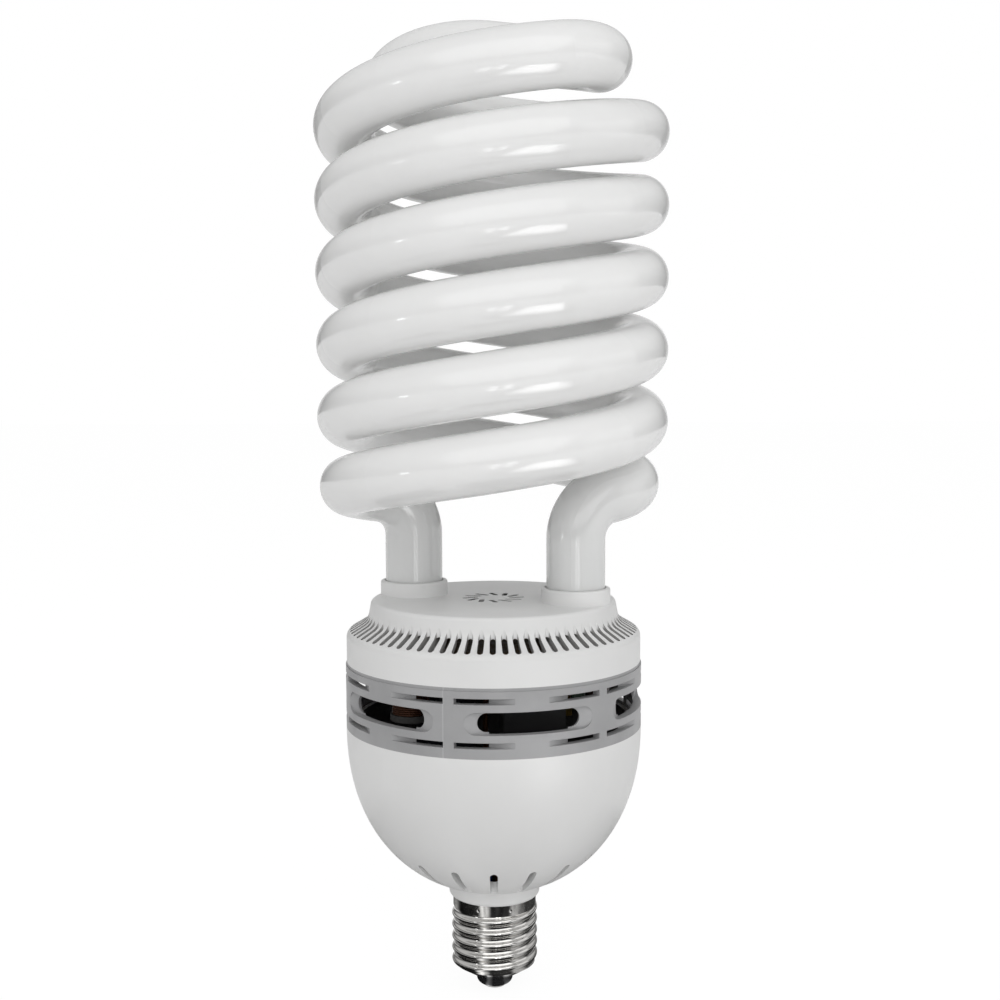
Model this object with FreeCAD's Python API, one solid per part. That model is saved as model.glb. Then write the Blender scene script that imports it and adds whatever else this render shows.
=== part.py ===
import FreeCAD, Part
import math
import os
from FreeCAD import Vector

# Spiral energy saving lamp with an E27 screw cap, in millimetres, standing on its end contact.
# The origin is the middle of the end contact's face and +Z runs along the lamp towards the coil.

# Glass tube and its coil
TUBE_R = 8.75
COIL_R = 43.6
TURN_GAP = 3.6
COIL_TURNS = 3.0
COIL_ABOVE_COVER = 33.3
LOBE_START = -65.0
CROWN_RISE = 9.7
CROWN_FALLS = (0.0, 0.26, 0.74)
ARC_STEP = 30.0
LEG_CIRCLE_R = 26.1
LEG_ANGLE = -19.8
LEG_BEND_R = 13.0
SIDE_BEND_R = 14.4
LEG_DEPTH = 9.3
LEG_END_ROUND = 2.4

# Screw cap
CONTACT_R = 3.4
CONTACT_PROUD = 0.7
CONTACT_SHANK_R = 1.3
CONTACT_EDGE = 0.35
INSULATOR_R = 5.6
INSULATOR_DROP = 2.9
INSULATOR_ROUND = 2.2
INSULATOR_FLANGE_R = 8.6
INSULATOR_FLANGE = 2.2
SHELL_LENGTH = 25.8
SHELL_WALL = 0.45
SHELL_END_RISE = 4.1
SHELL_BAND = 3.8
SHELL_BAND_R = 12.75
THREAD_ROOT_R = 12.1
THREAD_DEPTH = 1.05
THREAD_PITCH = 3.629
THREAD_ROOT_CUT = 0.88
THREAD_SINK = 0.03
THREAD_LEAD = 0.31
BAND_CHAMFER = 0.5

# Lower housing
BOWL_DEPTH = 51.2
BOWL_FULLNESS = 2.2
BOWL_WALL = 3.0
BOWL_SLOTS = 18
BOWL_SLOT_WIDTH = 2.3
BOWL_SLOT_INNER_R = 21.0
BOWL_SLOT_OUTER_R = 33.5
COLLAR_R = 13.9
COLLAR_LENGTH = 2.6
COLLAR_ROUND = 1.3
NECK_LENGTH = 15.0
NECK_WALL = 1.8

# Vent ring
RING_R = 44.8
RING_WALL = 2.45
RING_HEIGHT = 19.8
RING_LIP = 0.9
RING_LIP_STEP = 0.35
VENT_GROUPS = 6
VENT_TURN = 14.0
WINDOW_HEIGHT = 5.4
WINDOW_REACH = 20.3
WINDOW_DISH_DEPTH = 4.0
WINDOW_DISH_RIM = 0.5
SLOT_HEIGHT = 1.7
SLOT_DEPTH = 3.8
SLOT_POST = 3.1
SLOT_ROW_OFFSET = 6.15

# Top cover
COVER_STEP = 0.3
COVER_WALL = 1.8
COVER_HEIGHT = 18.3
DISC_INSET = 7.6
DISC_EDGE = 1.3
FLARE_REACH = 1.1
FLARE_DROP = 5.9
FLARE_ROUND = 4.0
SHOULDER_DROP = 9.7
SHOULDER_ROUND = 2.4
COVER_SLOTS = 76
COVER_SLOT_WIDTH = 1.75
COVER_SLOT_EDGE = 1.0
COVER_SLOT_BITE = 0.5
COVER_SLOT_SILL = 0.7
COVER_SLOT_REACH = 1.6
GRILLE_SLOTS = 12
GRILLE_SLOT_WIDTH = 1.6
GRILLE_INNER_R = 4.4
GRILLE_OUTER_R = 9.6
GRILLE_SWIRL = 24.0
SOCKET_WALL = 1.15
SOCKET_RISE = 4.4
SOCKET_SLEEVE = 4.0
SOCKET_ROUND = 0.7
CEMENT_GAP = 0.4
CEMENT_BELOW_RIM = 0.8

# Joints between the mouldings
FIT_GAP = 0.15
TONGUE_WALL = 1.5
TONGUE_LENGTH = 2.0
TONGUE_ROOT = 3.0

# Ballast board and the posts that carry it
BOARD_EDGE_GAP = 0.9
BOARD_T = 1.6
BOARD_GAP = 7.4
POST_R = 3.0
POST_INSET = 6.6
POST_ANGLE = 60.0
PEG_R = 1.4
PEG_HEAD_R = 2.4
PEG_HEAD = 1.0
PEG_GAP = 0.1
PIN_R = 0.6
PIN_HEIGHT = 3.2
LEAD_R = 0.35
LEAD_SPACING = 7.0

# Parts on the board, each place is measured from the lamp's axis
CAN_R = 9.0
CAN_LENGTH = 36.0
CAN_AT = (-14.5, -5.0)
CAN_GROOVE = 0.7
CAN_ROUND = 0.8
CORE_WIDTH = 28.0
CORE_DEPTH = 11.0
CORE_HEIGHT = 22.0
CORE_LIMB = 5.0
CORE_MIDDLE_LIMB = 8.4
BOBBIN_WALL = 1.0
BOBBIN_GAP = 0.2
BOBBIN_FOOT = 2.5
CHOKE_AT = (15.5, 9.0)
FILTER_R = 6.0
FILTER_WAIST_R = 3.0
FILTER_HEIGHT = 14.0
FILTER_FLANGE = 1.8
FILTER_FILL = 0.5
FILTER_AT = (-24.0, -21.0)
DRIVE_OUTER_R = 6.0
DRIVE_INNER_R = 3.2
DRIVE_HEIGHT = 5.0
DRIVE_WIRE_R = 0.4
DRIVE_TURNS = 9
DRIVE_AT = (-6.0, -22.5)
SINK_WIDTH = 18.0
SINK_HEIGHT = 24.0
SINK_T = 1.5
SINK_LIP = 3.0
SINK_AT = (12.0, -22.5)
CHIP_WIDTH = 10.0
CHIP_HEIGHT = 9.0
CHIP_T = 4.4
CHIP_TAB = 6.2
CHIP_TAB_T = 1.3
CHIP_LEG = 7.0
CHIP_LEG_T = 0.8
CHIP_LEG_PITCH = 2.54
RESONANT_SIZE = (7.0, 18.0, 14.0)
RESONANT_AT = (30.5, -8.0)
COUPLING_SIZE = (6.0, 15.0, 11.0)
COUPLING_AT = (-31.0, 6.0)
FILM_ROUND = 1.0
DIODE_R = 1.35
DIODE_LENGTH = 5.2
DIODE_COUNT = 4
DIODE_PITCH = 3.1
DIODE_AT = (5.5, 29.6)
FUSE_R = 2.2
FUSE_LENGTH = 8.0
FUSE_CAP = 1.8
FUSE_CAP_STEP = 0.2
FUSE_AT = (-5.5, 31.5)
THERMISTOR_R = 4.5
THERMISTOR_T = 3.5
THERMISTOR_AT = (24.5, -22.5)
RESISTOR_R = 1.2
RESISTOR_LENGTH = 6.0
RESISTOR_AT = ((-24.8, 21.0), (-28.4, 20.0))
LEG_WIRE_R = 0.4
LEG_WIRE_BEND = 0.9
LEG_REACH = 2.0
LEG_STAND = 0.6

# Supply wires
WIRE_R = 0.8
WIRE_FROM = (-2.6, 3.0)
WIRE_PITCH = 4.0
WIRE_BEND_R = 6.0
WIRE_LANE_GAP = 0.6

# Heights worked out from the sizes above
Z_INSULATOR = CONTACT_PROUD
Z_SHELL_END = Z_INSULATOR + INSULATOR_DROP
Z_SHELL_TOP = Z_SHELL_END + SHELL_LENGTH
Z_RING = Z_SHELL_TOP + COLLAR_LENGTH + BOWL_DEPTH
Z_COVER = Z_RING + RING_HEIGHT
Z_DISC = Z_COVER + COVER_HEIGHT
Z_LEG_END = Z_DISC - LEG_DEPTH
Z_BOARD_TOP = Z_LEG_END - BOARD_GAP
Z_BOARD = Z_BOARD_TOP - BOARD_T
Z_COIL = Z_DISC + COIL_ABOVE_COVER

# Radii worked out from the sizes above
RING_BORE_R = RING_R - RING_WALL
BOWL_R = RING_R
COVER_R = RING_R - COVER_STEP
DISC_R = COVER_R - DISC_INSET
FLARE_FOOT_R = DISC_R + FLARE_REACH
COVER_SLOT_INNER_R = FLARE_FOOT_R - COVER_SLOT_BITE
COVER_SLOT_OUTER_R = COVER_R - COVER_SLOT_EDGE
TONGUE_R = RING_BORE_R - FIT_GAP
TONGUE_BORE_R = TONGUE_R - TONGUE_WALL
BOARD_R = TONGUE_BORE_R - BOARD_EDGE_GAP
POST_CIRCLE_R = BOARD_R - POST_INSET
SOCKET_BORE_R = TUBE_R + CEMENT_GAP
SOCKET_R = SOCKET_BORE_R + SOCKET_WALL
SHELL_BORE_R = THREAD_ROOT_R - SHELL_WALL
SHELL_HOLE_R = INSULATOR_R + FIT_GAP
NECK_R = SHELL_BORE_R - FIT_GAP
NECK_BORE_R = NECK_R - NECK_WALL
COIL_PITCH = 2 * (2 * TUBE_R + TURN_GAP)
UP = Vector(0, 0, 1)


def polar(radius, degrees, z=0.0):
    """Point at a radius and an angle about the lamp's axis."""
    turn = math.radians(degrees)
    return Vector(radius * math.cos(turn), radius * math.sin(turn), z)


def unit(vector):
    """Copy of a vector with a length of one."""
    return vector * (1 / vector.Length)


def ring_of(shape, count, first=0.0):
    """Copies of a shape spread evenly about the lamp's axis."""
    copies = []
    for index in range(count):
        copy = shape.copy()
        copy.rotate(Vector(), UP, first + index * 360.0 / count)
        copies.append(copy)
    return copies


def half_turned(shape):
    """Copy of a shape turned half round about the lamp's axis."""
    return ring_of(shape, 2)[1]


def profile_edges(corners):
    """Edges of an outline in the XZ plane, each corner (x, z, round) rounded by a tangent arc."""
    edges = []
    at = None
    count = len(corners)
    points = [Vector(corner[0], 0, corner[1]) for corner in corners]
    for index in range(count):
        here = points[index]
        before = unit(points[index - 1] - here)
        after = unit(points[(index + 1) % count] - here)
        radius = corners[index][2] if len(corners[index]) > 2 else 0.0
        start = here
        end = here
        arc = None
        if radius:
            half = before.getAngle(after) / 2
            start = here + before * (radius / math.tan(half))
            end = here + after * (radius / math.tan(half))
            centre = here + unit(before + after) * (radius / math.sin(half))
            middle = centre + unit(here - centre) * radius
            arc = Part.Arc(start, middle, end).toShape()
        if at is None:
            first = start
        elif (start - at).Length > 1e-6:
            edges.append(Part.makeLine(at, start))
        if arc:
            edges.append(arc)
        at = end
    if (first - at).Length > 1e-6:
        edges.append(Part.makeLine(at, first))
    return edges


def turned(corners):
    """Solid of revolution about the lamp's axis from an outline of (radius, z, round) corners."""
    face = Part.Face(Part.Wire(Part.__sortEdges__(profile_edges(corners))))
    return face.revolve(Vector(), UP, 360)


def rod(radius, start, end):
    """Round rod from one point to another."""
    return Part.makeCylinder(radius, (end - start).Length, start, end - start)


def block(size, middle, top):
    """Box with its middle at a point of the plan and its top face at a height."""
    corner = Vector(middle[0] - size[0] / 2, middle[1] - size[1] / 2, top - size[2])
    return Part.makeBox(size[0], size[1], size[2], corner)


def slot_prism(inner, outer, width, low, high):
    """Upright prism of a round ended slot that runs outwards along +X."""
    half = width / 2
    start = Vector(inner + half, 0, low)
    end = Vector(outer - half, 0, low)
    side = Vector(0, half, 0)
    back = Vector(half, 0, 0)
    edges = [Part.makeLine(start - side, end - side),
             Part.Arc(end - side, end + back, end + side).toShape(),
             Part.makeLine(end + side, start + side),
             Part.Arc(start + side, start - back, start - side).toShape()]
    return Part.Face(Part.Wire(edges)).extrude(Vector(0, 0, high - low))


def bar_end(section, outwards, radius, rounding):
    """Faces that close a round bar at a section: a rounded rim and a flat end."""
    rim = section.Vertexes[0].Point
    middle = section.Curve.Center
    side = unit(rim - middle)
    tip = middle + outwards * rounding
    if not rounding:
        return [Part.Face(Part.Wire(section))]
    diagonal = math.sqrt(0.5) * rounding
    halfway = middle + side * (radius - rounding + diagonal) + outwards * diagonal
    edge = tip + side * (radius - rounding)
    outline = Part.Wire([Part.Arc(rim, halfway, edge).toShape(), Part.makeLine(edge, tip)])
    return outline.revolve(middle, outwards, 360).Faces


def round_bar(points, tangents, radius, rounding=0.0):
    """Round bar along straight runs, with an arc at each inner point that starts a tangent away."""
    heading = unit(points[1] - points[0])
    at = points[0] + heading * rounding
    section = Part.Circle(at, heading, radius).toShape()
    faces = bar_end(section, heading * -1, radius, rounding)
    for index in range(1, len(points)):
        heading = unit(points[index] - points[index - 1])
        last = index == len(points) - 1
        stop = points[index] - heading * (rounding if last else tangents[index])
        if (stop - at).dot(heading) > 1e-4:
            faces.append(section.extrude(stop - at))
            section = section.translated(stop - at)
        if last:
            break
        leaving = unit(points[index + 1] - points[index])
        turn = heading.getAngle(leaving)
        axis = unit(heading.cross(leaving))
        bend = tangents[index] / math.tan(turn / 2)
        centre = stop + axis.cross(heading) * bend
        faces.append(section.revolve(centre, axis, math.degrees(turn)))
        section = section.rotated(centre, axis, math.degrees(turn))
        at = points[index] + leaving * tangents[index]
    faces += bar_end(section, heading, radius, rounding)
    shell = Part.makeShell(faces)
    shell.sewShape()
    solid = Part.makeSolid(shell)
    if solid.Volume < 0:
        solid.reverse()
    return solid


def wire_bar(points, radius):
    """Round wire whose arcs are as large as its runs allow, up to the wires' bend radius."""
    tangents = [0.0]
    for index in range(1, len(points) - 1):
        before = points[index] - points[index - 1]
        after = points[index + 1] - points[index]
        half = before.getAngle(after) / 2
        longest = 0.45 * min(before.Length, after.Length)
        tangents.append(min(longest, WIRE_BEND_R * math.tan(half)))
    return round_bar(points, tangents, radius)


def strand_path():
    """Points and tangent lengths of one strand, from the middle of the crown down to its leg."""
    slope = COIL_PITCH / (2 * math.pi * COIL_R)
    stretch = math.hypot(1, slope)
    leg = polar(LEG_CIRCLE_R, LEG_ANGLE)

    # Where the leg's side bend meets the coil, so that the leg's own bend just fits before it
    lean = math.pi / 2 - math.atan(slope)
    leg_tangent = LEG_BEND_R * math.tan(lean / 2)
    run = leg_tangent / stretch
    inset = COIL_R - SIDE_BEND_R
    swing = LEG_CIRCLE_R ** 2 + inset ** 2 - SIDE_BEND_R ** 2 - run ** 2
    join_angle = LEG_ANGLE + math.degrees(math.acos(swing / (2 * LEG_CIRCLE_R * inset)))
    coil_end = LOBE_START + 360 * COIL_TURNS
    arcs = round((coil_end - join_angle) / ARC_STEP)
    step = (coil_end - join_angle) / arcs

    def coil_height(angle):
        return Z_COIL + COIL_PITCH * angle / 360

    # Crown lobe: half a circle of half the coil's radius, from the coil to the lamp's axis
    lobe_r = COIL_R / 2
    lobe_arcs = len(CROWN_FALLS) + 1
    lobe_step = 180.0 / lobe_arcs
    corner_r = lobe_r / math.cos(math.radians(lobe_step / 2))
    lobe_middle = polar(lobe_r, LOBE_START)
    crown = coil_height(coil_end) + CROWN_RISE
    join = polar(COIL_R, LOBE_START, coil_height(coil_end))
    points = [Vector(0, 0, crown)]
    for index, fall in enumerate(CROWN_FALLS):
        angle = LOBE_START + lobe_step * (lobe_arcs - index - 0.5)
        points.append(lobe_middle + polar(corner_r, angle, crown - CROWN_RISE * fall))
    tangents = [0.0, points[1].distanceToPoint(points[0])]
    for index in range(2, lobe_arcs):
        tangents.append(points[index].distanceToPoint(points[index - 1]) - tangents[-1])
    forward = unit(polar(1, LOBE_START + 90, slope))
    reach = points[-1] - join
    first = (reach.dot(reach) - tangents[-1] ** 2) / (2 * (tangents[-1] + reach.dot(forward)))
    points.append(join + forward * first)
    tangents.append(first)

    # Coil: arcs of equal turn, whose corners lie just outside the coil's own circle
    half_step = math.radians(step / 2)
    for index in range(arcs):
        angle = coil_end - step * (index + 0.5)
        points.append(polar(COIL_R / math.cos(half_step), angle, coil_height(angle)))
        tangents.append(points[-1].distanceToPoint(points[-2]) - tangents[-1])

    # Side bend and leg
    join = polar(COIL_R, join_angle, coil_height(join_angle))
    centre = polar(inset, join_angle)
    to_leg = leg - centre
    spread = math.degrees(math.acos(SIDE_BEND_R / to_leg.Length))
    touch_angle = math.degrees(math.atan2(to_leg.y, to_leg.x)) + spread
    half_side = math.radians(join_angle - touch_angle) / 2
    side_tangent = SIDE_BEND_R * math.tan(half_side)
    backward = polar(1, join_angle - 90, -slope)
    points.append(join + backward * side_tangent)
    tangents.append(points[-1].distanceToPoint(points[-2]) - tangents[-1])
    bend_height = points[-1].z - slope * (side_tangent + run)
    points.append(Vector(leg.x, leg.y, bend_height))
    tangents.append(points[-1].distanceToPoint(points[-2]) - tangents[-1])
    points.append(Vector(leg.x, leg.y, Z_LEG_END))
    tangents.append(0.0)
    return points, tangents


def discharge_tube():
    """The glass tube: two strands of a double helix, joined over the crown, with two legs."""
    points, tangents = strand_path()
    mirrored = [Vector(-point.x, -point.y, point.z) for point in points]
    whole = list(reversed(mirrored[1:])) + points[1:]
    spans = list(reversed(tangents[1:])) + tangents[1:]
    return round_bar(whole, spans, TUBE_R, LEG_END_ROUND)


def leg_places():
    """Plan places of the two legs."""
    leg = polar(LEG_CIRCLE_R, LEG_ANGLE)
    return [leg, leg * -1]


def tube_cement():
    """Cement between each leg and its socket."""
    low = Z_DISC - COVER_WALL - SOCKET_SLEEVE
    high = Z_DISC + SOCKET_RISE - CEMENT_BELOW_RIM
    rings = []
    for leg in leg_places():
        start = Vector(leg.x, leg.y, low)
        end = Vector(leg.x, leg.y, high)
        rings.append(rod(SOCKET_BORE_R, start, end).cut(rod(TUBE_R, start, end)))
    return Part.makeCompound(rings)


def offset_outline(corners, distance):
    """Corners of an open outline moved inwards, to the left of its direction, by a wall."""
    lines = []
    for index in range(len(corners) - 1):
        x0, z0 = corners[index][:2]
        x1, z1 = corners[index + 1][:2]
        length = math.hypot(x1 - x0, z1 - z0)
        side = (-(z1 - z0) / length * distance, (x1 - x0) / length * distance)
        lines.append(((x0 + side[0], z0 + side[1]), (x1 - x0, z1 - z0)))
    moved = [lines[0][0]]
    for (p, d), (q, e) in zip(lines, lines[1:]):
        cross = d[0] * e[1] - d[1] * e[0]
        along = ((q[0] - p[0]) * e[1] - (q[1] - p[1]) * e[0]) / cross
        moved.append((p[0] + d[0] * along, p[1] + d[1] * along))
    last, direction = lines[-1]
    moved.append((last[0] + direction[0], last[1] + direction[1]))
    return moved


def cover_outline():
    """Outer corners of the top cover, from its lower rim to the middle of its disc."""
    return [(COVER_R, Z_COVER), (COVER_R, Z_DISC - SHOULDER_DROP),
            (FLARE_FOOT_R, Z_DISC - FLARE_DROP), (DISC_R, Z_DISC), (0.0, Z_DISC)]


def post_places():
    """Plan places of the four posts that carry the board."""
    places = []
    for angle in (POST_ANGLE, 180 - POST_ANGLE, 180 + POST_ANGLE, -POST_ANGLE):
        places.append(polar(POST_CIRCLE_R, angle))
    return places


def top_cover():
    """White cover: shoulder grille, leg sockets, middle grille and the board's posts."""
    outer = cover_outline()
    inner = offset_outline(outer, COVER_WALL)
    rounds = (0.0, SHOULDER_ROUND, FLARE_ROUND, DISC_EDGE, 0.0)
    inner_rounds = (0.0, 0.0, FLARE_ROUND + COVER_WALL, 0.0, 0.0)
    root = Z_COVER + TONGUE_ROOT
    tongue_end = Z_COVER - TONGUE_LENGTH
    outline = [corner + (radius,) for corner, radius in zip(outer, rounds)]
    outline += [corner + (radius,) for corner, radius in reversed(list(zip(inner, inner_rounds))[1:])]
    outline += [(inner[0][0], root), (TONGUE_BORE_R, root), (TONGUE_BORE_R, tongue_end),
                (TONGUE_R, tongue_end), (TONGUE_R, Z_COVER)]
    cover = turned(outline)
    below = Z_COVER + TONGUE_ROOT + FIT_GAP
    slot = slot_prism(COVER_SLOT_INNER_R, COVER_SLOT_OUTER_R, COVER_SLOT_WIDTH, below, Z_DISC)
    sill = Z_DISC - SHOULDER_DROP + COVER_SLOT_SILL
    core = slot_prism(FLARE_DROP - Z_DISC, -sill, COVER_SLOT_WIDTH, FLARE_FOOT_R - COVER_SLOT_REACH,
                      COVER_SLOT_OUTER_R)
    core.rotate(Vector(), Vector(0, 1, 0), 90)
    slot = slot.fuse(core)
    petal = slot_prism(GRILLE_INNER_R, GRILLE_OUTER_R, GRILLE_SLOT_WIDTH,
                       Z_DISC - 2 * COVER_WALL, Z_DISC + COVER_WALL)
    petal.rotate(Vector((GRILLE_INNER_R + GRILLE_OUTER_R) / 2, 0, 0), UP, GRILLE_SWIRL)
    cover = cover.cut(ring_of(slot, COVER_SLOTS) + ring_of(petal, GRILLE_SLOTS))

    sockets = []
    bores = []
    low = Z_DISC - COVER_WALL - SOCKET_SLEEVE
    high = Z_DISC + SOCKET_RISE
    for leg in leg_places():
        base = Vector(leg.x, leg.y, low)
        collar = rod(SOCKET_R, base, Vector(leg.x, leg.y, high))
        rim = [edge for edge in collar.Edges if edge.BoundBox.ZMin > high - 1e-3]
        sockets.append(collar.makeFillet(SOCKET_ROUND, rim))
        bores.append(rod(SOCKET_BORE_R, base - UP, Vector(leg.x, leg.y, high + 1)))
    posts = []
    for place in post_places():
        head = Z_BOARD - PEG_HEAD
        stem = [(0.0, head), (PEG_HEAD_R, head, PEG_HEAD / 2), (PEG_HEAD_R, Z_BOARD), (PEG_R, Z_BOARD),
                (PEG_R, Z_BOARD_TOP), (POST_R, Z_BOARD_TOP), (POST_R, Z_DISC - COVER_WALL / 2),
                (0.0, Z_DISC - COVER_WALL / 2)]
        posts.append(turned(stem).translated(place))
    return cover.fuse(sockets + posts).cut(bores).removeSplitter()


def vent_ring():
    """Grey ring: six dished windows, and rows of thin slots cut flat across the wall."""
    lip_r = RING_R - RING_LIP_STEP
    ring = turned([(RING_R, Z_RING), (RING_R, Z_COVER - RING_LIP), (lip_r, Z_COVER - RING_LIP),
                   (lip_r, Z_COVER), (RING_BORE_R, Z_COVER), (RING_BORE_R, Z_RING)])
    middle = Z_RING + RING_HEIGHT / 2
    reach = 2 * RING_BORE_R * math.sin(math.radians(WINDOW_REACH))
    outside = RING_R + RING_WALL
    dish_floor = RING_R - WINDOW_DISH_DEPTH
    dish_reach = 2 * math.sqrt(RING_R ** 2 - dish_floor ** 2)
    cuts = []
    for width, height, depth in ((reach, WINDOW_HEIGHT, RING_BORE_R - RING_WALL - WINDOW_DISH_DEPTH),
                                 (dish_reach, WINDOW_HEIGHT + 2 * WINDOW_DISH_RIM, dish_floor)):
        window = slot_prism(-width / 2, width / 2, height, 0, outside - depth)
        window.rotate(Vector(), Vector(1, 0, 0), 90)
        window.translate(Vector(0, -depth, middle))
        cuts += ring_of(window, VENT_GROUPS, VENT_TURN)
    slot_floor = RING_R - SLOT_DEPTH
    slot_reach = math.sqrt(RING_R ** 2 - slot_floor ** 2) + RING_WALL
    for row in (-SLOT_ROW_OFFSET, SLOT_ROW_OFFSET):
        for start in (SLOT_POST / 2, -SLOT_POST / 2 - slot_reach):
            corner = Vector(start, -outside, middle + row - SLOT_HEIGHT / 2)
            slot = Part.makeBox(slot_reach, outside - slot_floor, SLOT_HEIGHT, corner)
            cuts += ring_of(slot, VENT_GROUPS, VENT_TURN + 180.0 / VENT_GROUPS)
    return ring.cut(cuts)


def bowl_curve(radius, depth, start, end):
    """Curve of the bowl's section between two parameters, from its rim towards its pole."""
    points = []
    count = 9
    for index in range(count):
        angle = start + (end - start) * index / (count - 1)
        across = radius * math.cos(angle) ** (2 / BOWL_FULLNESS)
        down = depth * math.sin(angle) ** (2 / BOWL_FULLNESS)
        points.append(Vector(across, 0, Z_RING - down))
    curve = Part.BSplineCurve()
    curve.interpolate(points)
    return curve.toShape(), points[0], points[-1]


def lower_housing():
    """White bowl with vent slots, the collar and the neck that carries the screw shell."""
    rim_end = math.acos((COLLAR_R / BOWL_R) ** (BOWL_FULLNESS / 2))
    outer, rim, foot = bowl_curve(BOWL_R, BOWL_DEPTH, 0.0, rim_end)
    inner_r = BOWL_R - BOWL_WALL
    inner_depth = BOWL_DEPTH - BOWL_WALL
    inner_start = math.asin((TONGUE_ROOT / inner_depth) ** (BOWL_FULLNESS / 2))
    inner_end = math.acos((NECK_BORE_R / inner_r) ** (BOWL_FULLNESS / 2))
    inner, ledge, mouth = bowl_curve(inner_r, inner_depth, inner_start, inner_end)
    neck_end = Z_SHELL_TOP - NECK_LENGTH
    tongue_end = Z_RING + TONGUE_LENGTH

    def at(radius, z):
        return Vector(radius, 0, z)

    lower = [foot, at(COLLAR_R, Z_SHELL_TOP + COLLAR_ROUND)]
    diagonal = COLLAR_ROUND * (1 - math.sqrt(0.5))
    corner = Part.Arc(lower[-1], at(COLLAR_R - diagonal, Z_SHELL_TOP + diagonal),
                      at(COLLAR_R - COLLAR_ROUND, Z_SHELL_TOP)).toShape()
    neck = [at(COLLAR_R - COLLAR_ROUND, Z_SHELL_TOP), at(NECK_R, Z_SHELL_TOP), at(NECK_R, neck_end),
            at(NECK_BORE_R, neck_end), mouth]
    tongue = [ledge, at(TONGUE_BORE_R, ledge.z), at(TONGUE_BORE_R, tongue_end), at(TONGUE_R, tongue_end),
              at(TONGUE_R, Z_RING), rim]
    edges = [outer, corner, inner]
    for chain in (lower, neck, tongue):
        edges += [Part.makeLine(a, b) for a, b in zip(chain, chain[1:])]
    section = Part.Face(Part.Wire(Part.__sortEdges__(edges)))
    housing = section.revolve(Vector(), UP, 360)
    slot = slot_prism(BOWL_SLOT_INNER_R, BOWL_SLOT_OUTER_R, BOWL_SLOT_WIDTH, Z_SHELL_TOP, Z_RING)
    return housing.cut(ring_of(slot, BOWL_SLOTS, -90.0))


def thread_ridge(start, turns):
    """Helical ridge of the knuckle thread, its crest and roots rounded by equal arcs."""
    quarter = THREAD_PITCH / 4
    sweep = 2 * math.atan(THREAD_DEPTH / 2 / quarter)
    radius = quarter / math.sin(sweep)
    crest = THREAD_ROOT_R + THREAD_DEPTH
    trim = sweep * THREAD_ROOT_CUT
    foot = THREAD_ROOT_R - SHELL_WALL / 2

    def on_crest(angle):
        return Vector(crest - radius + radius * math.cos(angle), 0, radius * math.sin(angle))

    def on_root(angle, side):
        across = THREAD_ROOT_R + radius - radius * math.cos(sweep - angle)
        return Vector(across, 0, side * (2 * quarter - radius * math.sin(sweep - angle)))

    edges = [Part.Arc(on_crest(-sweep), on_crest(0), on_crest(sweep)).toShape()]
    for side in (-1, 1):
        edges.append(Part.Arc(on_root(0, side), on_root(trim / 2, side), on_root(trim, side)).toShape())
        tip = on_root(trim, side)
        edges.append(Part.makeLine(tip, Vector(foot, 0, tip.z)))
    edges.append(Part.makeLine(Vector(foot, 0, on_root(trim, -1).z), Vector(foot, 0, on_root(trim, 1).z)))
    section = Part.Wire(Part.__sortEdges__(edges))
    helix = Part.makeHelix(THREAD_PITCH, THREAD_PITCH * turns, THREAD_ROOT_R)
    ridge = Part.Wire(helix.Edges).makePipeShell([section], True, True)
    return ridge.translated(Vector(0, 0, start))


def screw_shell():
    """Plated shell: plain band, knuckle thread and a coned end with a hole for the insulator."""
    core_r = THREAD_ROOT_R + THREAD_SINK
    band = Z_SHELL_TOP - SHELL_BAND
    shoulder = Z_SHELL_END + SHELL_END_RISE
    outer = [(SHELL_HOLE_R, Z_SHELL_END), (core_r, shoulder), (core_r, band),
             (SHELL_BAND_R, band + BAND_CHAMFER), (SHELL_BAND_R, Z_SHELL_TOP)]
    bore = [(SHELL_BORE_R, Z_SHELL_TOP), (SHELL_BORE_R, shoulder + SHELL_WALL),
            (SHELL_HOLE_R, Z_SHELL_END + SHELL_WALL)]
    turns = (band - Z_SHELL_END + THREAD_LEAD) / THREAD_PITCH + 0.5
    ridge = thread_ridge(Z_SHELL_END - THREAD_LEAD, turns)

    # The ridge is kept above the end's cone, carried outwards, and below the band
    slope = SHELL_END_RISE / (core_r - SHELL_HOLE_R)
    outside = THREAD_ROOT_R + 2 * THREAD_DEPTH
    top = band + BAND_CHAMFER / 2
    room = turned([(SHELL_BORE_R, Z_SHELL_END + slope * (SHELL_BORE_R - SHELL_HOLE_R)),
                   (outside, Z_SHELL_END + slope * (outside - SHELL_HOLE_R)), (outside, top),
                   (SHELL_BORE_R, top)])
    return turned(outer + bore).fuse(ridge.common(room))


def flange_heights():
    """Heights of the insulator's flange at its root, at its lower rim and at its inner face."""
    root = Z_SHELL_END + SHELL_WALL + FIT_GAP
    slope = SHELL_END_RISE / (THREAD_ROOT_R - SHELL_HOLE_R)
    rim = root + slope * (INSULATOR_FLANGE_R - INSULATOR_R)
    return root, rim, rim + INSULATOR_FLANGE


def insulator_top():
    """Height of the insulator's inner face, where the contact's shank ends."""
    return flange_heights()[-1]


def cap_insulator():
    """Black end insulator: a rounded nose through the shell's hole and a flange inside it."""
    root, rim, top = flange_heights()
    return turned([(CONTACT_SHANK_R, Z_INSULATOR), (INSULATOR_R, Z_INSULATOR, INSULATOR_ROUND),
                   (INSULATOR_R, root), (INSULATOR_FLANGE_R, rim), (INSULATOR_FLANGE_R, top),
                   (CONTACT_SHANK_R, top)])


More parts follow.
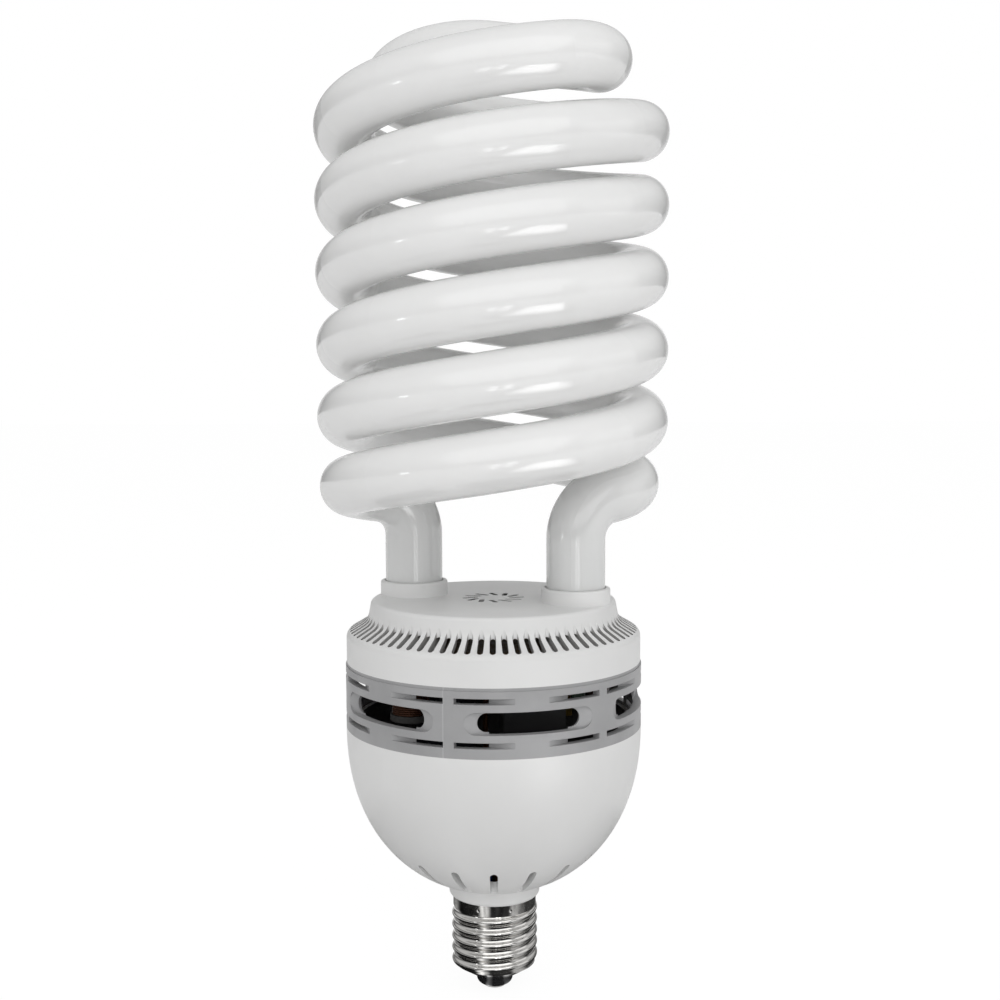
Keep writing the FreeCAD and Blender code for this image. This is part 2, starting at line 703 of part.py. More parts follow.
def end_contact():
    """Contact button with the shank that is riveted through the insulator."""
    return turned([(0.0, 0.0), (CONTACT_R, 0.0, CONTACT_EDGE), (CONTACT_R, Z_INSULATOR),
                   (CONTACT_SHANK_R, Z_INSULATOR), (CONTACT_SHANK_R, insulator_top()),
                   (0.0, insulator_top())])


def circuit_board():
    """Round ballast board with a hole for each of the cover's pegs."""
    board = rod(BOARD_R, Vector(0, 0, Z_BOARD), Vector(0, 0, Z_BOARD_TOP))
    holes = [rod(PEG_R + PEG_GAP, place + UP * (Z_BOARD - 1), place + UP * (Z_BOARD_TOP + 1))
             for place in post_places()]
    return board.cut(holes)


def lead_places():
    """Plan places of the four filament leads, two below each leg."""
    places = []
    for leg in leg_places():
        side = Vector(-leg.y, leg.x, 0) * (LEAD_SPACING / 2 / LEG_CIRCLE_R)
        places += [leg + side, leg - side]
    return places


def lead_pins():
    """Four terminal pins that stand on the board."""
    pins = []
    for place in lead_places():
        pins.append(rod(PIN_R, place + UP * Z_BOARD_TOP, place + UP * (Z_BOARD_TOP + PIN_HEIGHT)))
    return Part.makeCompound(pins)


def filament_leads():
    """Four wires from the tube's ends to the pins."""
    leads = []
    for place in lead_places():
        leads.append(rod(LEAD_R, place + UP * (Z_BOARD_TOP + PIN_HEIGHT), place + UP * Z_LEG_END))
    return Part.makeCompound(leads)


def smoothing_capacitor():
    """Can of the smoothing capacitor, hung below the board, with its rolled groove."""
    groove = Z_BOARD - CAN_R / 2
    low = Z_BOARD - CAN_LENGTH
    can = turned([(0.0, low), (CAN_R, low, CAN_ROUND), (CAN_R, groove - 2 * CAN_GROOVE),
                  (CAN_R - CAN_GROOVE, groove - CAN_GROOVE), (CAN_R - CAN_GROOVE, groove),
                  (CAN_R, groove + CAN_GROOVE), (CAN_R, Z_BOARD, CAN_ROUND), (0.0, Z_BOARD)])
    return can.translated(Vector(CAN_AT[0], CAN_AT[1], 0))


def choke_top():
    """Height of the top of the choke's core, below its bobbin's feet."""
    return Z_BOARD - BOBBIN_FOOT


def choke_core():
    """Two E cores of the lamp choke that meet at their middle, round one upright limb."""
    top = choke_top()
    whole = block((CORE_WIDTH, CORE_DEPTH, CORE_HEIGHT), CHOKE_AT, top)
    window = (CORE_WIDTH - CORE_MIDDLE_LIMB) / 2 - CORE_LIMB
    cuts = []
    for side in (-1, 1):
        middle = (CHOKE_AT[0] + side * (CORE_MIDDLE_LIMB + window) / 2, CHOKE_AT[1])
        cuts.append(block((window, CORE_DEPTH, CORE_HEIGHT - 2 * CORE_LIMB), middle, top - CORE_LIMB))
    whole = whole.cut(cuts)
    upper = whole.common(block((CORE_WIDTH, CORE_DEPTH, CORE_HEIGHT / 2), CHOKE_AT, top))
    lower = whole.common(block((CORE_WIDTH, CORE_DEPTH, CORE_HEIGHT / 2), CHOKE_AT, top - CORE_HEIGHT / 2))
    return Part.makeCompound([upper, lower])


def bobbin_flange():
    """Plan size of the bobbin's flanges, inside the core's windows and past its faces."""
    return (CORE_WIDTH - 2 * CORE_LIMB - 2 * BOBBIN_GAP, CORE_DEPTH + 2 * CORE_LIMB)


def bobbin_heights():
    """Top and bottom of the bobbin between the core's yokes."""
    top = choke_top() - CORE_LIMB - BOBBIN_GAP
    bottom = choke_top() - CORE_HEIGHT + CORE_LIMB + BOBBIN_GAP
    return top, bottom


def bobbin_sleeve(grown):
    """Upright block round the core's middle limb, grown on every side."""
    top, bottom = bobbin_heights()
    size = (CORE_MIDDLE_LIMB + 2 * grown, CORE_DEPTH + 2 * grown, top - bottom)
    return block(size, CHOKE_AT, top)


def choke_bobbin():
    """Bobbin with two flanges, and feet that stand it off the board past the core's faces."""
    top, bottom = bobbin_heights()
    flange = bobbin_flange()
    pieces = [bobbin_sleeve(BOBBIN_GAP + BOBBIN_WALL),
              block((flange[0], flange[1], BOBBIN_WALL), CHOKE_AT, top),
              block((flange[0], flange[1], BOBBIN_WALL), CHOKE_AT, bottom + BOBBIN_WALL)]
    for side in (-1, 1):
        foot_depth = CORE_LIMB - BOBBIN_GAP
        middle = (CHOKE_AT[0], CHOKE_AT[1] + side * (flange[1] - foot_depth) / 2)
        pieces.append(block((flange[0], foot_depth, Z_BOARD - top + BOBBIN_WALL), middle, Z_BOARD))
    hole = bobbin_sleeve(BOBBIN_GAP)
    return pieces[0].fuse(pieces[1:]).cut(hole).removeSplitter()


def choke_winding():
    """Wound and taped copper between the bobbin's flanges."""
    top, bottom = bobbin_heights()
    flange = bobbin_flange()
    size = (flange[0] - 2 * BOBBIN_GAP, flange[1] - 2 * BOBBIN_WALL, top - bottom - 2 * BOBBIN_WALL)
    coil = block(size, CHOKE_AT, top - BOBBIN_WALL)
    upright = [edge for edge in coil.Edges if abs(edge.tangentAt(edge.FirstParameter).z) > 0.9]
    coil = coil.makeFillet(CORE_LIMB / 2, upright)
    return coil.cut(bobbin_sleeve(BOBBIN_GAP + BOBBIN_WALL))


def filter_core():
    """Drum core of the line filter choke."""
    low = Z_BOARD - FILTER_HEIGHT
    drum = turned([(0.0, low), (FILTER_R, low), (FILTER_R, low + FILTER_FLANGE),
                   (FILTER_WAIST_R, low + FILTER_FLANGE), (FILTER_WAIST_R, Z_BOARD - FILTER_FLANGE),
                   (FILTER_R, Z_BOARD - FILTER_FLANGE), (FILTER_R, Z_BOARD), (0.0, Z_BOARD)])
    return drum.translated(Vector(FILTER_AT[0], FILTER_AT[1], 0))


def filter_winding():
    """Copper wound on the drum core."""
    low = Z_BOARD - FILTER_HEIGHT + FILTER_FLANGE
    high = Z_BOARD - FILTER_FLANGE
    coil = turned([(FILTER_WAIST_R, low), (FILTER_R - FILTER_FILL, low), (FILTER_R - FILTER_FILL, high),
                   (FILTER_WAIST_R, high)])
    return coil.translated(Vector(FILTER_AT[0], FILTER_AT[1], 0))


def drive_top():
    """Height of the drive ring's upper face, a wire below the board."""
    return Z_BOARD - 2 * DRIVE_WIRE_R


def drive_ring():
    """Toroid of the drive transformer."""
    top = drive_top()
    core = turned([(DRIVE_INNER_R, top - DRIVE_HEIGHT), (DRIVE_OUTER_R, top - DRIVE_HEIGHT),
                   (DRIVE_OUTER_R, top), (DRIVE_INNER_R, top)])
    return core.translated(Vector(DRIVE_AT[0], DRIVE_AT[1], 0))


def drive_winding():
    """Turns of wire round the toroid's section."""
    top = drive_top()
    wire = 2 * DRIVE_WIRE_R
    outside = block((DRIVE_OUTER_R - DRIVE_INNER_R + 2 * wire, wire, DRIVE_HEIGHT + 2 * wire),
                    ((DRIVE_OUTER_R + DRIVE_INNER_R) / 2, 0), top + wire)
    inside = block((DRIVE_OUTER_R - DRIVE_INNER_R + wire / 4, wire, DRIVE_HEIGHT),
                   ((DRIVE_OUTER_R + DRIVE_INNER_R) / 2, 0), top)
    turn = outside.cut(inside)
    turns = [copy.translated(Vector(DRIVE_AT[0], DRIVE_AT[1], 0)) for copy in ring_of(turn, DRIVE_TURNS)]
    return Part.makeCompound(turns)


def heat_sink():
    """Folded aluminium plate that stands off the board behind a transistor."""
    plate = block((SINK_WIDTH, SINK_T, SINK_HEIGHT), SINK_AT, Z_BOARD)
    lip_at = (SINK_AT[0], SINK_AT[1] - SINK_LIP / 2 + SINK_T / 2)
    lip = block((SINK_WIDTH, SINK_LIP, SINK_T), lip_at, Z_BOARD - SINK_HEIGHT + SINK_T)
    return plate.fuse(lip).removeSplitter()


def transistor():
    """Power transistor against its heat sink, hung from the board by its three legs."""
    face = SINK_AT[1] + SINK_T / 2
    body = block((CHIP_WIDTH, CHIP_T, CHIP_HEIGHT), (SINK_AT[0], face + CHIP_T / 2), Z_BOARD - CHIP_LEG)
    tab = block((CHIP_WIDTH, CHIP_TAB_T, CHIP_TAB), (SINK_AT[0], face + CHIP_TAB_T / 2),
                Z_BOARD - CHIP_LEG - CHIP_HEIGHT)
    legs = []
    for index in (-1, 0, 1):
        place = (SINK_AT[0] + index * CHIP_LEG_PITCH, face + CHIP_T / 2)
        legs.append(block((CHIP_LEG_T, CHIP_LEG_T, CHIP_LEG), place, Z_BOARD))
    return body.fuse([tab] + legs)


def film_capacitor(size, place):
    """Boxed film capacitor with rounded upright and lower edges."""
    box = block(size, place, Z_BOARD)
    edges = [edge for edge in box.Edges if edge.BoundBox.ZMin < Z_BOARD - FILM_ROUND]
    return box.makeFillet(FILM_ROUND, edges)


def axial_part(radius, length, place, along):
    """Axial part below the board: a rounded body on two legs that are bent up to the board."""
    middle = Vector(place[0], place[1], Z_BOARD - LEG_STAND - radius)
    body = rod(radius, middle - along * (length / 2), middle + along * (length / 2))
    body = body.makeFillet(radius / 3, [edge for edge in body.Edges if len(edge.Vertexes) == 1])
    pieces = []
    for side in (-1, 1):
        bend = middle + along * (side * (length / 2 + LEG_REACH))
        foot = Vector(bend.x, bend.y, Z_BOARD)
        pieces.append(round_bar([middle, bend, foot], [0.0, LEG_WIRE_BEND], LEG_WIRE_R))
    return body.fuse(pieces)


def rectifier_diodes():
    """Four diodes of the bridge, side by side."""
    diodes = []
    for index in range(DIODE_COUNT):
        offset = (index - (DIODE_COUNT - 1) / 2) * DIODE_PITCH
        place = (DIODE_AT[0], DIODE_AT[1] + offset)
        diodes.append(axial_part(DIODE_R, DIODE_LENGTH, place, Vector(1, 0, 0)))
    return Part.makeCompound(diodes)


def line_fuse():
    """Wire ended fuse with a cap at each end."""
    body = axial_part(FUSE_R, FUSE_LENGTH, FUSE_AT, Vector(0, 1, 0))
    middle = Vector(FUSE_AT[0], FUSE_AT[1], Z_BOARD - LEG_STAND - FUSE_R)
    caps = []
    for side in (-1, 1):
        end = middle + Vector(0, side * FUSE_LENGTH / 2, 0)
        caps.append(rod(FUSE_R + FUSE_CAP_STEP, end, end - Vector(0, side * FUSE_CAP, 0)))
    return body.fuse(caps)


def resistors():
    """Two starting resistors."""
    parts = [axial_part(RESISTOR_R, RESISTOR_LENGTH, place, Vector(0, 1, 0)) for place in RESISTOR_AT]
    return Part.makeCompound(parts)


def preheat_thermistor():
    """Disc thermistor on two legs."""
    middle = Vector(THERMISTOR_AT[0], THERMISTOR_AT[1], Z_BOARD - LEG_REACH - THERMISTOR_R)
    across = Vector(THERMISTOR_T / 2, 0, 0)
    disc = rod(THERMISTOR_R, middle - across, middle + across)
    disc = disc.makeFillet(THERMISTOR_T / 4, [edge for edge in disc.Edges if len(edge.Vertexes) == 1])
    legs = []
    for side in (-1, 1):
        place = middle + Vector(0, side * THERMISTOR_R / 2, 0)
        legs.append(rod(LEG_WIRE_R, place, Vector(place.x, place.y, Z_BOARD)))
    return disc.fuse(legs)


def wire_lane(side):
    """Plan place of a supply wire inside the neck, beside the lamp's axis."""
    return Vector(side * (WIRE_R + WIRE_LANE_GAP), 0, 0)


def contact_wire():
    """Wire from the board down through the neck to the end contact's shank."""
    lane = wire_lane(1)
    top = Vector(WIRE_FROM[0], WIRE_FROM[1] - WIRE_PITCH / 2, Z_BOARD)
    mouth = Z_SHELL_TOP + COLLAR_LENGTH
    turn = Z_SHELL_TOP - NECK_LENGTH
    points = [top, Vector(top.x, top.y, mouth + WIRE_BEND_R * 2), lane + UP * mouth, lane + UP * turn,
              Vector(0, 0, (turn + insulator_top()) / 2), UP * insulator_top()]
    return wire_bar(points, WIRE_R)


def shell_wire():
    """Wire from the board down through the neck and out below it to the shell's wall."""
    lane = wire_lane(-1)
    top = Vector(WIRE_FROM[0], WIRE_FROM[1] + WIRE_PITCH / 2, Z_BOARD)
    mouth = Z_SHELL_TOP + COLLAR_LENGTH
    turn = Z_SHELL_TOP - NECK_LENGTH - 2 * WIRE_R
    points = [top, Vector(top.x, top.y, mouth + WIRE_BEND_R * 2), lane + UP * mouth, lane + UP * turn,
              Vector(-SHELL_BORE_R, 0, turn)]
    bar = wire_bar(points, WIRE_R)
    bore = rod(SHELL_BORE_R, UP * (turn - WIRE_BEND_R), UP * Z_SHELL_TOP)
    above = rod(BOWL_R, UP * Z_SHELL_TOP, UP * Z_BOARD)
    return bar.common(bore.fuse(above))


def nodes():
    """Every piece of the lamp by its node name."""
    return {
        "discharge_tube": discharge_tube(),
        "tube_cement": tube_cement(),
        "top_cover": top_cover(),
        "vent_ring": vent_ring(),
        "lower_housing": lower_housing(),
        "screw_shell": screw_shell(),
        "cap_insulator": cap_insulator(),
        "end_contact": end_contact(),
        "circuit_board": circuit_board(),
        "lead_pins": lead_pins(),
        "filament_leads": filament_leads(),
        "smoothing_capacitor": smoothing_capacitor(),
        "choke_core": choke_core(),
        "choke_bobbin": choke_bobbin(),
        "choke_winding": choke_winding(),
        "filter_core": filter_core(),
        "filter_winding": filter_winding(),
        "drive_ring": drive_ring(),
        "drive_winding": drive_winding(),
        "front_heat_sink": heat_sink(),
        "rear_heat_sink": half_turned(heat_sink()),
        "front_transistor": transistor(),
        "rear_transistor": half_turned(transistor()),
        "resonant_capacitor": film_capacitor(RESONANT_SIZE, RESONANT_AT),
        "coupling_capacitor": film_capacitor(COUPLING_SIZE, COUPLING_AT),
        "rectifier_diodes": rectifier_diodes(),
        "line_fuse": line_fuse(),
        "preheat_thermistor": preheat_thermistor(),
        "resistors": resistors(),
        "shell_wire": shell_wire(),
        "contact_wire": contact_wire(),
    }


def main():
    """Build every piece and write one file for each."""
    os.makedirs("parts", exist_ok=True)
    for name, shape in nodes().items():
        box = shape.BoundBox
        print(f"{name}: {len(shape.Solids)} solids, valid {shape.isValid()}, volume {shape.Volume:.1f}, "
              f"z {box.ZMin:.2f} to {box.ZMax:.2f}")
        shape.exportStep(f"parts/{name}.step")


main()
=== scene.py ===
"""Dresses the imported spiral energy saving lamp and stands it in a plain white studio."""

import logging
import math
from dataclasses import dataclass
from enum import Enum

import bmesh
import bpy
from mathutils import Matrix, Vector


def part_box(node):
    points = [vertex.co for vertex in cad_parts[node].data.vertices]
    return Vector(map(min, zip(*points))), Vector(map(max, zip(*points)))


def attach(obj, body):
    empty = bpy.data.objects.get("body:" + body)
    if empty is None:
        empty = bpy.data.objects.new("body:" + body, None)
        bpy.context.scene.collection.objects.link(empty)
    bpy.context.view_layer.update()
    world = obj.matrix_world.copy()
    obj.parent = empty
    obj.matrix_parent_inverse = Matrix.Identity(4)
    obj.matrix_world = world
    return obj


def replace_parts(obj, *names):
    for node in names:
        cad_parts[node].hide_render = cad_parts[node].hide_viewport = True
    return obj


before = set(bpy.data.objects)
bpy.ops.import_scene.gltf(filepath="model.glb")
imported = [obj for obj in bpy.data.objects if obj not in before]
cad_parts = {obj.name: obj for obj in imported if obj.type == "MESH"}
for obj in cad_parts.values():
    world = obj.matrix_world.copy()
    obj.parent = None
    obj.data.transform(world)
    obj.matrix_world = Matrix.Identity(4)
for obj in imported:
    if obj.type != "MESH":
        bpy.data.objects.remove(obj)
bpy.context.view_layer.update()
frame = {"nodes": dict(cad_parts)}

LOG = logging.getLogger("spiral_lamp")
WELD_DISTANCE = 0.000001
MIX_FIRST, MIX_SECOND, MIX_RESULT = 6, 7, 2  # Sockets of a Mix node that mixes colours

Socket = bpy.types.NodeSocket
Colour = tuple[float, float, float]
Place = tuple[float, float, float]
Span = tuple[float, float]


class Stand(Enum):
    """How a pane of light stands: the angle that it is tipped up by, in degrees."""

    FLAT = 0.0
    UPRIGHT = 90.0


class Sheet:
    """A node tree that is being laid out, with short ways to add and join its nodes."""

    def __init__(self, tree: bpy.types.NodeTree) -> None:
        """Starts on an empty tree.

        Args:
            tree: The node tree of a material, a world or a group.
        """
        self.tree = tree
        tree.nodes.clear()

    def add(self, kind: str, **settings: object) -> bpy.types.Node:
        """Adds a node and sets its own properties.

        Args:
            kind: The node's type name, without the ShaderNode in front.
            **settings: The node's properties by name.

        Returns:
            The new node.
        """
        node = self.tree.nodes.new("ShaderNode" + kind)
        for name, value in settings.items():
            setattr(node, name, value)
        return node

    def join(self, source: Socket, target: Socket) -> None:
        """Links one socket to another."""
        self.tree.links.new(source, target)

    def feed(self, value: object, target: Socket) -> None:
        """Links a socket to the target, or sets the target to a plain value.

        Args:
            value: A socket, or the plain value.
            target: The socket that takes it.
        """
        if isinstance(value, Socket):
            self.join(value, target)
        else:
            target.default_value = value

    def calc(self, operation: str, *values: object) -> Socket:
        """Works out one step of arithmetic.

        Args:
            operation: The Math node's operation.
            *values: Sockets or numbers, in the node's order.

        Returns:
            The socket with the result.
        """
        node = self.add("Math", operation=operation)
        for value, target in zip(values, node.inputs):
            self.feed(value, target)
        return node.outputs[0]

    def ramp(self, value: object, start: float, end: float, low: float = 0.0, high: float = 1.0
             ) -> Socket:
        """Maps a range of a value onto another with soft ends.

        Args:
            value: The socket to map.
            start: The value that gives low.
            end: The value that gives high.
            low: The result at start and before it.
            high: The result at end and after it.

        Returns:
            The socket with the mapped value.
        """
        node = self.add("MapRange", interpolation_type="SMOOTHSTEP")
        for given, target in zip((value, start, end, low, high), node.inputs):
            self.feed(given, target)
        return node.outputs["Result"]

    def blend(self, share: object, first: object, second: object) -> Socket:
        """Mixes two colours.

        Args:
            share: How much of the second colour there is, from 0 to 1.
            first: The colour at 0.
            second: The colour at 1.

        Returns:
            The socket with the mixed colour.
        """
        node = self.add("Mix", data_type="RGBA")
        self.feed(share, node.inputs["Factor"])
        for colour, number in ((first, MIX_FIRST), (second, MIX_SECOND)):
            value = colour if isinstance(colour, Socket) else (*colour, 1.0)
            self.feed(value, node.inputs[number])
        return node.outputs[MIX_RESULT]

    def place(self) -> Socket:
        """Gives the Object coordinates."""
        return self.add("TexCoord").outputs["Object"]

    def split(self, vector: Socket) -> tuple[Socket, Socket, Socket]:
        """Splits a vector.

        Args:
            vector: The socket with the vector.

        Returns:
            The sockets with its X, Y and Z.
        """
        node = self.add("SeparateXYZ")
        self.join(vector, node.inputs["Vector"])
        return node.outputs["X"], node.outputs["Y"], node.outputs["Z"]

    def close(self, shader: Socket, kind: str = "OutputMaterial") -> None:
        """Leads a shader to the output of the tree."""
        self.join(shader, self.add(kind).inputs["Surface"])


class SharedEffects:
    """The effects that several finishes use, each a shader node group that is built once."""

    CLOUD_DETAIL = 4.0
    CLOUD_ROUGHNESS = 0.55
    CLOUD_LIMITS: Span = (0.3, 0.7)
    GRAIN_DETAIL = 2.0
    PIT_SCALE = 0.6
    PIT_SHARE = 0.5
    SEAM_LIMITS: Span = (0.4, 1.0)

    def __init__(self) -> None:
        """Builds the groups."""
        self.drift = self._drift()
        self.grain = self._grain()
        self.seam = self._seam()

    @staticmethod
    def _start(name: str, inputs: dict[str, str], outputs: dict[str, str]
               ) -> tuple[Sheet, bpy.types.Node, bpy.types.Node]:
        """Makes an empty group with its sockets.

        Args:
            name: The group's name.
            inputs: Socket type by name, such as Float, Vector or Color.
            outputs: Socket type by name.

        Returns:
            The group's sheet, its input node and its output node.
        """
        group = bpy.data.node_groups.new(name, "ShaderNodeTree")
        for label, kind in inputs.items():
            group.interface.new_socket(label, in_out="INPUT", socket_type="NodeSocket" + kind)
        for label, kind in outputs.items():
            group.interface.new_socket(label, in_out="OUTPUT", socket_type="NodeSocket" + kind)
        sheet = Sheet(group)
        return sheet, group.nodes.new("NodeGroupInput"), group.nodes.new("NodeGroupOutput")

    def _drift(self) -> bpy.types.NodeTree:
        """Slow cloudy change, for tone and for gloss.

        Returns:
            The group, with a Mask from 0 to 1.
        """
        sheet, given, made = self._start(
            "cloudy_drift", {"Vector": "Vector", "Scale": "Float"}, {"Mask": "Float"})
        noise = sheet.add("TexNoise")
        noise.inputs["Detail"].default_value = self.CLOUD_DETAIL
        noise.inputs["Roughness"].default_value = self.CLOUD_ROUGHNESS
        sheet.join(given.outputs["Vector"], noise.inputs["Vector"])
        sheet.join(given.outputs["Scale"], noise.inputs["Scale"])
        sheet.join(sheet.ramp(noise.outputs[0], *self.CLOUD_LIMITS), made.inputs["Mask"])
        return sheet.tree

    def _grain(self) -> bpy.types.NodeTree:
        """The fine even grain that a spark-eroded mould leaves.

        Returns:
            The group, with a Height from 0 to 1.
        """
        sheet, given, made = self._start(
            "mould_grain", {"Vector": "Vector", "Scale": "Float"}, {"Height": "Float"})
        fine = sheet.add("TexNoise")
        fine.inputs["Detail"].default_value = self.GRAIN_DETAIL
        sheet.join(given.outputs["Vector"], fine.inputs["Vector"])
        sheet.join(given.outputs["Scale"], fine.inputs["Scale"])
        pits = sheet.add("TexVoronoi", feature="SMOOTH_F1")
        sheet.join(given.outputs["Vector"], pits.inputs["Vector"])
        scale = sheet.calc("MULTIPLY", given.outputs["Scale"], self.PIT_SCALE)
        sheet.join(scale, pits.inputs["Scale"])
        pitted = sheet.calc("MULTIPLY", pits.outputs["Distance"], self.PIT_SHARE)
        height = sheet.calc("MULTIPLY_ADD", fine.outputs[0], 1.0 - self.PIT_SHARE, pitted)
        sheet.join(height, made.inputs["Height"])
        return sheet.tree

    def _seam(self) -> bpy.types.NodeTree:
        """Two upright lines on opposite sides of the lamp's axis, as a split mould leaves them.

        Returns:
            The group, with a Mask that is 1 on the lines.
        """
        sheet, given, made = self._start(
            "mould_seam", {"Vector": "Vector", "Angle": "Float", "Width": "Float"},
            {"Mask": "Float"})
        turn = sheet.add("VectorRotate", rotation_type="Z_AXIS")
        sheet.join(given.outputs["Vector"], turn.inputs["Vector"])
        sheet.join(sheet.calc("MULTIPLY", given.outputs["Angle"], -1.0), turn.inputs["Angle"])
        _, aside, _ = sheet.split(turn.outputs["Vector"])
        share = sheet.calc("DIVIDE", sheet.calc("ABSOLUTE", aside), given.outputs["Width"])
        sheet.join(sheet.ramp(share, *self.SEAM_LIMITS, 1.0, 0.0), made.inputs["Mask"])
        return sheet.tree


EFFECTS = SharedEffects()


@dataclass(frozen=True)
class Finish:
    """A surface finish: two near tones that drift together, a gloss that varies and a relief.

    Lengths are in metres, scales in repeats to a metre, and colours linear.
    """

    name: str
    light: Colour
    dark: Colour
    rough_low: float
    rough_high: float
    drift_scale: float = 30.0
    grain_scale: float = 2500.0
    relief: float = 0.00002
    bump: float = 0.2
    metallic: float = 0.0
    coat: float = 0.0
    coat_roughness: float = 0.05
    scatter: float = 0.0
    scatter_depth: float = 0.006

    def material(self) -> bpy.types.Material:
        """Builds the material.

        Returns:
            The finished material.
        """
        made = bpy.data.materials.new(self.name)
        made.use_nodes = True
        sheet = Sheet(made.node_tree)
        surface = sheet.add("BsdfPrincipled")
        surface.inputs["Metallic"].default_value = self.metallic
        surface.inputs["Coat Weight"].default_value = self.coat
        surface.inputs["Coat Roughness"].default_value = self.coat_roughness
        surface.inputs["Subsurface Weight"].default_value = self.scatter
        surface.inputs["Subsurface Radius"].default_value = (1.0, 1.0, 1.0)
        surface.inputs["Subsurface Scale"].default_value = self.scatter_depth
        place = sheet.place()
        drift = self.group(sheet, EFFECTS.drift, "Mask", Vector=place, Scale=self.drift_scale)
        sheet.feed(self.colour(sheet, place, drift), surface.inputs["Base Color"])
        sheet.feed(self.roughness(sheet, drift), surface.inputs["Roughness"])
        bump = sheet.add("Bump")
        bump.inputs["Strength"].default_value = self.bump
        bump.inputs["Distance"].default_value = self.relief
        sheet.feed(self.height(sheet, place), bump.inputs["Height"])
        sheet.join(bump.outputs["Normal"], surface.inputs["Normal"])
        sheet.close(surface.outputs[0])
        return made

    @staticmethod
    def group(sheet: Sheet, tree: bpy.types.NodeTree, output: str, **values: object) -> Socket:
        """Places a shared effect in a material.

        Args:
            sheet: The material's sheet.
            tree: The shared group.
            output: The group's output that is wanted.
            **values: The group's inputs by name.

        Returns:
            The socket of that output.
        """
        node = sheet.add("Group", node_tree=tree)
        for name, value in values.items():
            sheet.feed(value, node.inputs[name])
        return node.outputs[output]

    def colour(self, sheet: Sheet, place: Socket, drift: Socket) -> Socket:
        """Gives the base colour.

        Args:
            sheet: The material's sheet.
            place: Object coordinates.
            drift: The cloudy mask.

        Returns:
            The colour's socket.
        """
        return sheet.blend(drift, self.light, self.dark)

    def roughness(self, sheet: Sheet, drift: Socket) -> Socket:
        """Gives the roughness, which follows the cloudy mask."""
        return sheet.ramp(drift, 0.0, 1.0, self.rough_low, self.rough_high)

    def height(self, sheet: Sheet, place: Socket) -> Socket:
        """Gives the relief's height, from 0 to about 1.

        Args:
            sheet: The material's sheet.
            place: Object coordinates.

        Returns:
            The height's socket.
        """
        return self.group(sheet, EFFECTS.grain, "Height", Vector=place, Scale=self.grain_scale)


@dataclass(frozen=True)
class CoatedGlass(Finish):
    """Glass with a white powder inside, thinner and greyer on the legs."""

    leg_colour: Colour = (0.72, 0.725, 0.72)
    leg_end: float = 0.124
    coil_start: float = 0.168

    def colour(self, sheet: Sheet, place: Socket, drift: Socket) -> Socket:
        """Gives the powder's white, with the grey of the legs below.

        Args:
            sheet: The material's sheet.
            place: Object coordinates.
            drift: The cloudy mask.

        Returns:
            The colour's socket.
        """
        _, _, up = sheet.split(place)
        rise = sheet.ramp(up, self.leg_end, self.coil_start)
        return sheet.blend(rise, self.leg_colour, sheet.blend(drift, self.light, self.dark))


@dataclass(frozen=True)
class MouldedPlastic(Finish):
    """Moulded plastic with a fine grain and the line of a split mould."""

    seam_angle: float = 72.0
    seam_width: float = 0.00025
    seam_height: float = 3.0
    seam_tone: float = 0.0
    seam_colour: Colour = (0.62, 0.62, 0.625)

    def seam(self, sheet: Sheet, place: Socket) -> Socket:
        """Gives the mask of the mould's line."""
        return self.group(sheet, EFFECTS.seam, "Mask", Vector=place,
                          Angle=math.radians(self.seam_angle), Width=self.seam_width)

    def colour(self, sheet: Sheet, place: Socket, drift: Socket) -> Socket:
        """Gives the plastic's colour, paler where the mould's line is rubbed."""
        share = sheet.calc("MULTIPLY", self.seam(sheet, place), self.seam_tone)
        return sheet.blend(share, super().colour(sheet, place, drift), self.seam_colour)

    def height(self, sheet: Sheet, place: Socket) -> Socket:
        """Gives the grain with the mould's line standing over it."""
        grain = super().height(sheet, place)
        return sheet.calc("MULTIPLY_ADD", self.seam(sheet, place), self.seam_height, grain)


